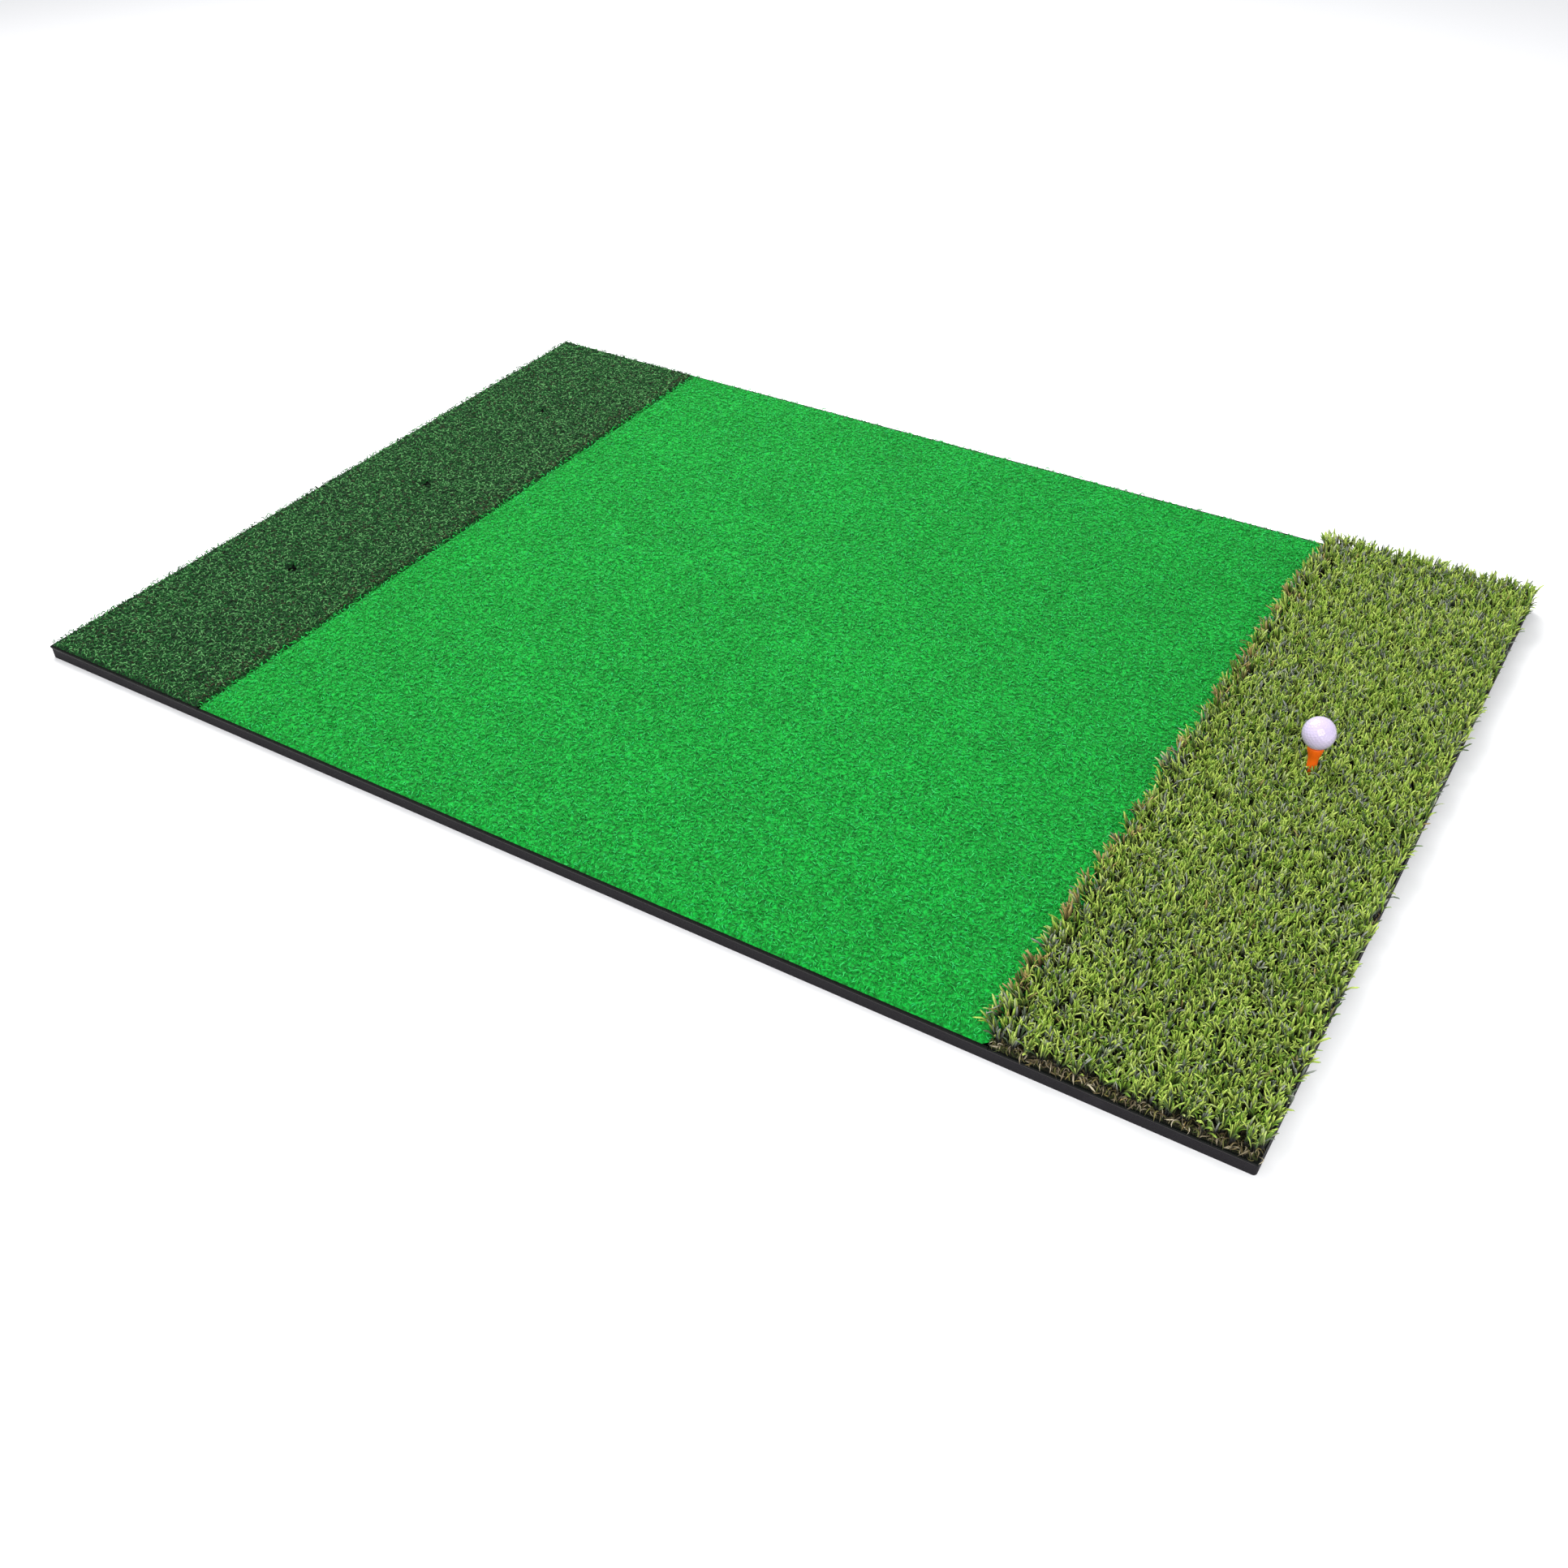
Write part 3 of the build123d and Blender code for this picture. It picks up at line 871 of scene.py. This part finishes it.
class GOLFMAT_OT_rough(bpy.types.Operator):
    """Grow the long rough strip: curled thatch below, long blades above"""

    bl_idname = "golfmat.rough"
    bl_label = "Grow the rough strip"

    def execute(self, context):
        s = context.scene.golfmat_rough
        node, slot = "rough_thatch", "thatch_yarn"
        low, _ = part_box(node)
        centre = tee_centre()
        openings = [(centre.x, centre.y, 0.0)]
        dark, middle, light = tuple(s.dark), tuple(s.middle), tuple(s.light)
        sky_glint, straw, brown = tuple(s.sky_glint), tuple(s.straw), tuple(s.brown)

        shade, moss = linear(34, 32, 20), linear(56, 70, 30)
        # Painted shade: the rough's bed runs from near black through shade brown, the shade deep down under the
        # thatch and blades.
        bed = bed_tree().grown(
            "rough_bed", shaded_bed_finish("rough bed", linear(10, 12, 8), shade, moss, 0.004),
            openings, **field_of(node), Root_Z=low.z, Height=0.005, Rounding=0.01,
            Opening_Radius=0.0082, Seed=s.seed)
        settle(bed, "mat", slot, node)

        olive, dust, fern = linear(40, 48, 22), linear(132, 118, 84), linear(60, 78, 30)
        thatch_tones = [brown, olive, dust, brown, fern, brown]
        thatch = yarn_finish("thatch yarn", thatch_tones, linear(26, 22, 14), 0.6)
        curls = strand_field("Thatch curls", curl_shapes, 3, curl_girth, 0.8)
        pieces_of(curls, "rough_thatch_yarn", 1, field_of(node), thatch, openings, slot, node,
                  **edges_of(node), Root_Z=low.z + 0.004, Spacing=0.0062, Seed=s.seed + 5,
                  Opening_Radius=0.009, Length=0.012, Height=0.006, Girth=0.0007, Inset=0.004,
                  Lean_Reach=0.012, Loose_Lean=0.7, Least_Size=0.7, Most_Size=1.5,
                  Crumple=0.003, Tone_Spread=1.0)

        sand, cream, sage = linear(172, 160, 128), linear(214, 202, 172), linear(112, 118, 58)
        fringe_tones = [brown, sand, cream, brown, sage, straw]
        fringe = yarn_finish("fringe yarn", fringe_tones, linear(34, 28, 20), 0.55, 0.15, 0.1, 0.7)
        cut_ends = strand_field("Fringe curls", curl_shapes, 6, curl_girth, 0.7)
        whole = field_of(node)
        cut_edges = {"near": {"High_Y": whole["Low_Y"] + FRINGE_DEPTH},
                     "far": {"Low_Y": whole["High_Y"] - FRINGE_DEPTH}}
        for side, cut in cut_edges.items():
            pieces_of(cut_ends, f"rough_fringe_{side}", 1, {**whole, **cut}, fringe, openings,
                      slot, node, **edges_of(node), Root_Z=low.z + 0.003, Spacing=0.0032,
                      Seed=s.seed + 9, Length=0.011, Height=0.0075, Girth=0.0009,
                      Lean_Low_Y=-0.2, Lean_High_Y=-0.2, Lean_Reach=0.012, Inset=0.001,
                      Loose_Lean=0.8, Least_Size=0.6, Most_Size=1.3, Crumple=0.004,
                      Tone_Spread=1.0)

        # One tone among these is a painted reflection of the sky on the blades.
        blade_tones = [straw, dark, middle, light, dark, middle,
                       light, sky_glint, dark, light, middle, light]
        # Painted shade: below 86 percent of their length the blades darken, to near black under 36 percent, for
        # the shade deep between them.
        blades = yarn_finish("blade yarn", blade_tones, linear(6, 10, 4), 0.34, 0.35, 0.36, 0.86)
        field = strand_field("Rough blades", blade_shapes, 4, blade_girth, 0.45, 1.7)
        sown = field_of("rough_blades")
        sown["Low_Y"] += s.bare_edge
        pieces_of(field, "rough_blades", 4, sown, blades, openings, "blade_yarn", "rough_blades",
                  **edges_of("rough_blades"), Root_Z=low.z + 0.002, Spacing=s.spacing,
                  Seed=s.seed, Per_Tuft=s.per_tuft, Tuft_Width=0.0016, Inset=0.0015,
                  Opening_Radius=0.0074, Height=s.height, Girth=s.girth,
                  Lean_Low_X=s.overhang, Lean_High_X=-0.08, Lean_Low_Y=-0.1, Lean_High_Y=0.35,
                  Lean_Reach=0.022, Lean_Wave=0.9, Edge_Growth=0.1, Comb_X=0.08, Comb_Y=0.06,
                  Tuft_Lean=0.5, Fan=0.1, Loose_Lean=0.08, Least_Size=0.84, Most_Size=1.12,
                  Crumple=0.002, Tone_Spread=0.25, Tuft_Spread=0.88, Patch_Spread=0.2,
                  Tone_Middle=0.56, Tone_Low_X=-0.3, Tone_Reach=0.014)
        return {"FINISHED"}


class GOLFMAT_OT_rubber_tee(bpy.types.Operator):
    """Turn the rubber tee as one piece"""

    bl_idname = "golfmat.rubber_tee"
    bl_label = "Turn the rubber tee"

    def execute(self, context):
        s = context.scene.golfmat_tee
        foot_low, foot_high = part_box("tee_foot")
        cup_low, cup_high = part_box("tee_cup")
        centre = tee_centre()
        rim = cup_high.z
        joint = next(j for j in frame["joints"] if j["child"] == "tee_top")
        pivot = Vector(joint["pos_m"])
        flange, cup = (foot_high.x - foot_low.x) / 2, (cup_high.x - cup_low.x) / 2
        stem, bore, throat, rounding = 0.0065, 0.0035, 0.0070, 0.0006
        flange_top, stem_foot = 0.003, 0.008
        flare_start, flare_height, throat_floor = rim - 0.022, 0.0205, rim - 0.0125
        stem_steps, flare_steps = 14, 18

        # From the bore's foot out over the flange, up the stem and the flare, then down inside
        profile = [
            (bore, 0.0), (flange - rounding, 0.0), (flange, rounding),
            (flange, flange_top - rounding), (flange - rounding, flange_top),
            (stem + 0.002, flange_top), (stem + rounding, flange_top + rounding), (stem, 0.005),
        ]
        for i in range(stem_steps + 1):
            profile.append((stem, stem_foot + i / stem_steps * (flare_start - stem_foot)))
        for i in range(1, flare_steps + 1):
            share = i / flare_steps
            ease = share * share * (3 - 2 * share)
            widening = (cup - stem) * (0.25 * share + 0.75 * ease)
            profile.append((stem + widening, flare_start + share * flare_height))
        profile += [
            (cup + 0.00005, rim - 0.0009), (cup - 0.0003, rim - 0.0003), (cup - 0.0009, rim),
            (cup - 0.0019, rim), (cup - 0.0024, rim - 0.0004), (throat, rim - 0.0022),
            (throat - 0.0004, rim - 0.004), (bore + 0.0004, throat_floor + 0.001),
            (bore, throat_floor),
        ]
        for i in range(1, stem_steps):
            profile.append((bore, throat_floor * (1 - i / stem_steps)))
        mesh = turned_mesh("rubber_tee", profile, s.segments, centre)
        tee = new_object("rubber_tee", mesh)
        tee.data.materials.append(rubber_finish(tuple(s.colour)))
        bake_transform(tee)
        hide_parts("tee_foot", "tee_cup")
        return {"FINISHED"}


def turned_mesh(name, profile, segments, centre):
    """Turn a closed profile of (radius, height) about the upright axis through centre."""
    points, faces = [], []
    for i in range(segments):
        angle = 2 * math.pi * i / segments
        for radius, height in profile:
            x, y = radius * math.cos(angle), radius * math.sin(angle)
            points.append((centre.x + x, centre.y + y, height))
    count = len(profile)
    for i in range(segments):
        here, there = i * count, (i + 1) % segments * count
        for j in range(count):
            after = (j + 1) % count
            faces.append((here + j, there + j, there + after, here + after))
    mesh = bpy.data.meshes.new(name)
    mesh.from_pydata(points, [], faces)
    mesh.polygons.foreach_set("use_smooth", [True] * len(faces))
    mesh.update()
    return mesh


class GOLFMAT_OT_ball(bpy.types.Operator):
    """Press the dimples into the ball"""

    bl_idname = "golfmat.ball"
    bl_label = "Dimple the ball"

    def execute(self, context):
        s = context.scene.golfmat_ball
        low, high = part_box("golf_ball")
        centre, radius = (low + high) / 2, (high.z - low.z) / 2
        growth = Growth("Ball dimples", {"Radius": 1.0, "Dimple Radius": 1.0, "Depth": 1.0,
                                         "Centre X": 0.0, "Centre Y": 0.0, "Centre Z": 0.0})
        ball = growth.node("GeometryNodeMeshIcoSphere", {},
                           {"Radius": growth["Radius"], "Subdivisions": 7})
        share = (growth.nearest_opening("Distance") / growth["Dimple Radius"]).held()
        bowl = (1 - share ** 2.4) * growth["Depth"]
        outward = growth.vector_maths("NORMALIZE", growth.place())
        ball = growth.moved(ball, offset=growth.scaled(outward, bowl * -1))
        middle = growth.vector(growth["Centre X"], growth["Centre Y"], growth["Centre Z"])
        growth.finished(growth.moved(ball, offset=middle))

        # Dimples along a spiral, each a golden angle on from the last
        golden = math.pi * (3 - math.sqrt(5))
        pits = []
        for i in range(s.dimples):
            height = 1 - 2 * (i + 0.5) / s.dimples
            reach = radius * math.sqrt(1 - height * height)
            x, y = reach * math.cos(golden * i), reach * math.sin(golden * i)
            pits.append((x, y, radius * height))
        piece = growth.grown("dimpled_ball", cover_finish(tuple(s.colour)), pits, Radius=radius,
                             Dimple_Radius=s.width, Depth=s.depth,
                             Centre_X=centre.x, Centre_Y=centre.y, Centre_Z=centre.z)
        settle(piece, "ball", "ball_cover", "golf_ball")
        return {"FINISHED"}


class GOLFMAT_OT_stage(bpy.types.Operator):
    """Set up the floor, the soft light and the camera"""

    bl_idname = "golfmat.stage"
    bl_label = "Set the stage"

    def execute(self, context):
        s = context.scene.golfmat_stage
        scene = context.scene
        scene.view_settings.view_transform = "Standard"
        reach = 30.0
        mesh = bpy.data.meshes.new("studio_floor")
        corners = [(-reach, -reach, 0), (reach, -reach, 0), (reach, reach, 0), (-reach, reach, 0)]
        mesh.from_pydata(corners, [], [(0, 1, 2, 3)])
        mesh.materials.append(floor_finish(tuple(s.floor)))
        floor = new_object("studio_floor", mesh)

        world = bpy.data.worlds.new("soft studio")
        world.use_nodes = True
        background = next(n for n in world.node_tree.nodes if n.type == "BACKGROUND")
        background.inputs["Color"].default_value = linear(252, 253, 255)
        background.inputs["Strength"].default_value = s.sky
        scene.world = world

        soft_light("key_light", Vector((-1.6, 1.2, 2.9)), 2.6, s.light)
        soft_light("near_light", Vector((1.8, -2.6, 2.4)), 3.0, s.light * 0.75)

        azimuth, elevation = math.radians(s.azimuth), math.radians(s.elevation)
        level = math.cos(elevation)
        back = Vector((math.sin(azimuth) * level, -math.cos(azimuth) * level, math.sin(elevation)))
        data = bpy.data.cameras.new("camera")
        data.lens = s.lens
        data.shift_x = s.shift
        data.clip_start, data.clip_end = 0.05, 100.0
        camera = new_object("camera", data)
        camera.rotation_mode = "QUATERNION"
        aim = Vector((0.2045, -0.2868, 0.0))
        camera.location = aim + back * s.distance
        facing = (-back).to_track_quat("-Z", "Y")
        camera.rotation_quaternion = facing @ Quaternion(UP, math.radians(s.roll))
        scene.camera = camera
        return {"FINISHED"}


def soft_light(name, place, size, watts):
    """A square area light that faces the middle of the mat."""
    data = bpy.data.lights.new(name, "AREA")
    data.size = size
    data.energy = watts
    lamp = new_object(name, data)
    lamp.location = place
    lamp.rotation_mode = "QUATERNION"
    lamp.rotation_quaternion = (-place).to_track_quat("-Z", "Y")


# Panel and registration


class GOLFMAT_PT_panel(bpy.types.Panel):
    """Golf mat tools in the sidebar"""

    bl_idname = "GOLFMAT_PT_panel"
    bl_label = "Golf Hitting Mat"
    bl_space_type = "VIEW_3D"
    bl_region_type = "UI"
    bl_category = "Golf Mat"

    def draw(self, context):
        for operator, settings in STEPS.items():
            box = self.layout.box()
            box.operator(operator.bl_idname)
            if settings:
                group = getattr(context.scene, settings)
                for name in group.__annotations__:
                    box.prop(group, name)


SETTINGS = {
    "golfmat_fairway": FairwaySettings,
    "golfmat_stance": StanceSettings,
    "golfmat_rough": RoughSettings,
    "golfmat_tee": TeeSettings,
    "golfmat_ball": BallSettings,
    "golfmat_stage": StageSettings,
}
STEPS = {
    GOLFMAT_OT_stage: "golfmat_stage",
    GOLFMAT_OT_backing: None,
    GOLFMAT_OT_fairway: "golfmat_fairway",
    GOLFMAT_OT_stance: "golfmat_stance",
    GOLFMAT_OT_rough: "golfmat_rough",
    GOLFMAT_OT_rubber_tee: "golfmat_tee",
    GOLFMAT_OT_ball: "golfmat_ball",
}
CLASSES = [*SETTINGS.values(), *STEPS, GOLFMAT_PT_panel]


def register():
    for made in CLASSES:
        bpy.utils.register_class(made)
    for name, group in SETTINGS.items():
        setattr(bpy.types.Scene, name, PointerProperty(type=group))


def unregister():
    for name in SETTINGS:
        delattr(bpy.types.Scene, name)
    for made in reversed(CLASSES):
        bpy.utils.unregister_class(made)


def main():
    """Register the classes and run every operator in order."""
    register()
    for operator in STEPS:
        group, name = operator.bl_idname.split(".")
        getattr(getattr(bpy.ops, group), name)()


if __name__ == "__main__":
    main()
